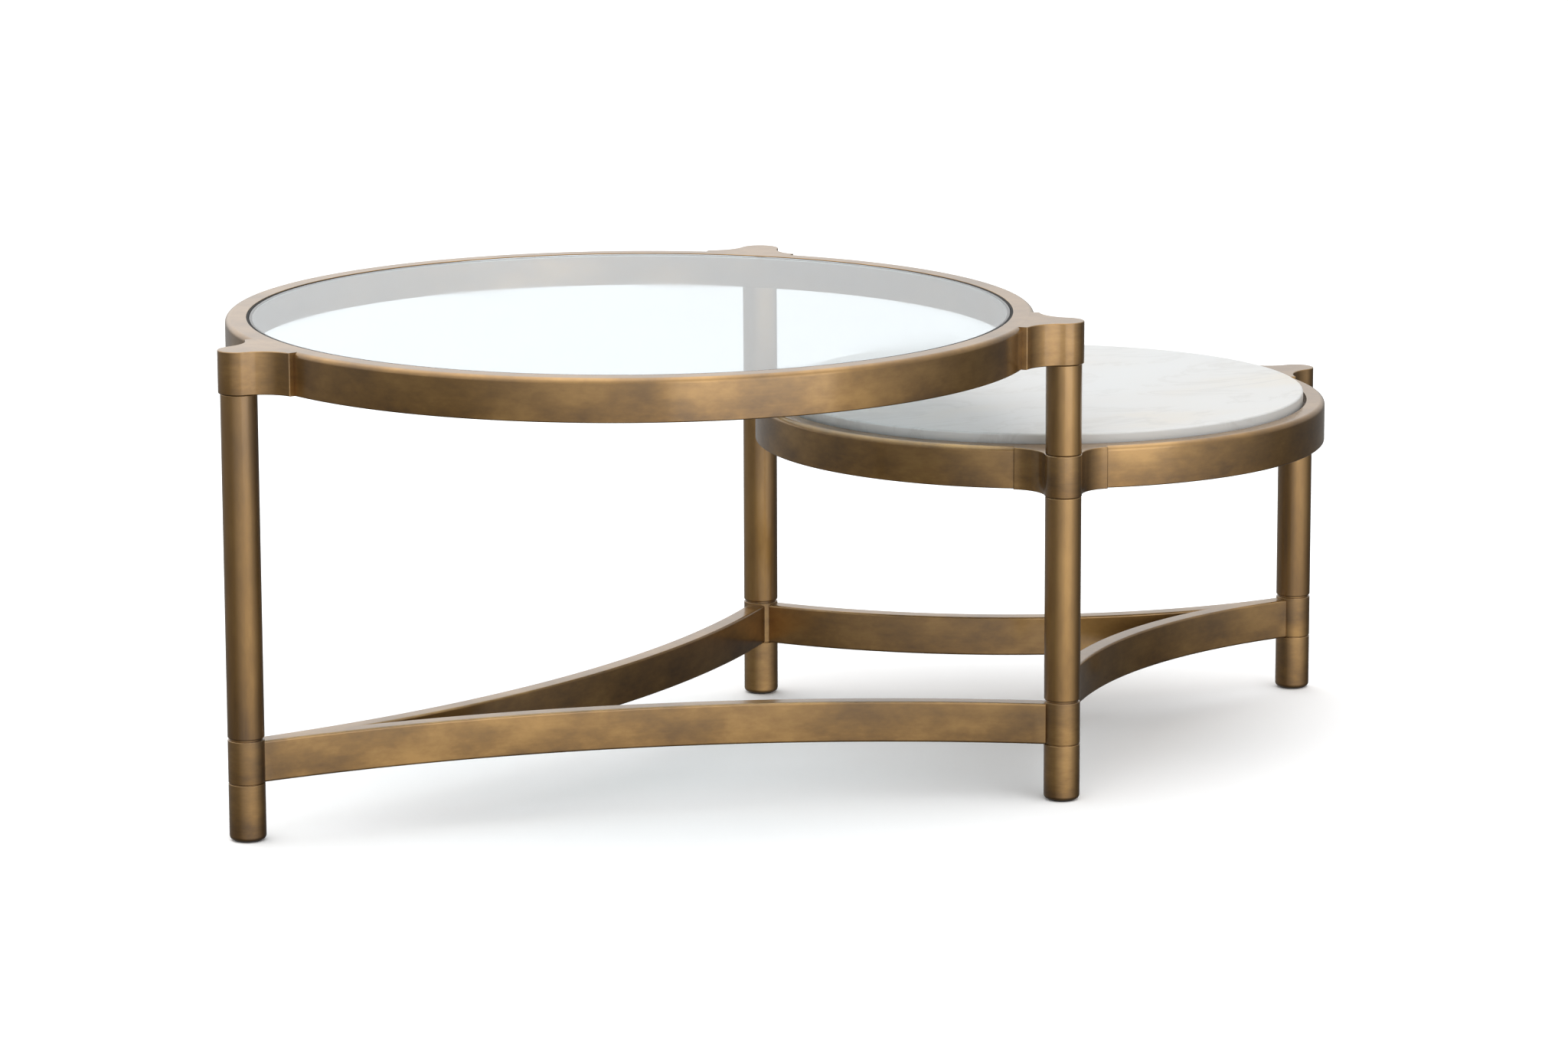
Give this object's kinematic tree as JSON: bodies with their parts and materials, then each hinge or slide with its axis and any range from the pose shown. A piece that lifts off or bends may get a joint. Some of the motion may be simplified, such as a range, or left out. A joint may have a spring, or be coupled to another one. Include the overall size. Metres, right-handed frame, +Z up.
{
  "type": "two-tier coffee table",
  "caption": "Fixed two-tier round coffee table: a glass top in a large ring over a lower marble top in a small ring, on shared brass-finished tube legs with curved stretchers.",
  "frame": {"origin": "on the floor, under the middle of the table's bounding box", "axes": "+X from the large glass end to the small marble end, +Z up, Y = 0 is the table's mirror plane"},
  "size_m": [1.226, 0.76, 0.457],
  "materials": {
    "antique_brass": "brass plate, hand-rubbed brown and lacquered satin, over steel",
    "clear_glass": "clear float glass, polished edge",
    "white_marble": "honed white marble with faint grey veins",
    "black_seal": "matte black",
    "clear_strip": "clear soft vinyl",
    "rubber_pads": "matte black",
    "nylon_glides": "dark nylon",
    "zinc_steel": "bright zinc plate"
  },
  "bodies": {
    "frame": {"bar_ab": "antique_brass", "bar_ac": "antique_brass", "bar_bd": "antique_brass", "bar_cd": "antique_brass", "collar_a": "antique_brass", "collar_b": "antique_brass", "collar_c": "antique_brass", "collar_d": "antique_brass", "foot_a": "antique_brass", "foot_b": "antique_brass", "foot_c": "antique_brass", "foot_d": "antique_brass", "foot_glides": "nylon_glides", "glass_seal": "black_seal", "glass_seat_strip": "clear_strip", "large_ledge": "antique_brass", "large_lug_a": "antique_brass", "large_lug_b": "antique_brass", "large_lug_c": "antique_brass", "large_ring": "antique_brass", "marble_pads": "rubber_pads", "post_a": "antique_brass", "post_b_lower": "antique_brass", "post_b_upper": "antique_brass", "post_c_lower": "antique_brass", "post_c_upper": "antique_brass", "post_d": "antique_brass", "rod_nuts": "zinc_steel", "rod_washers": "zinc_steel", "small_ledge": "antique_brass", "small_lug_b": "antique_brass", "small_lug_c": "antique_brass", "small_lug_d": "antique_brass", "small_ring": "antique_brass", "tie_rod_a": "zinc_steel", "tie_rod_b": "zinc_steel", "tie_rod_c": "zinc_steel", "tie_rod_d": "zinc_steel"},
    "glass_top": {"glass_top": "clear_glass"},
    "marble_top": {"marble_top": "white_marble"}
  },
  "joints": [
    {"name": "glass_lift", "type": "slide", "parent": "frame", "child": "glass_top", "axis": [0, 0, 1], "range_m": [0, 0.06]},
    {"name": "marble_lift", "type": "slide", "parent": "frame", "child": "marble_top", "axis": [0, 0, 1], "range_m": [0, 0.06]}
  ]
}
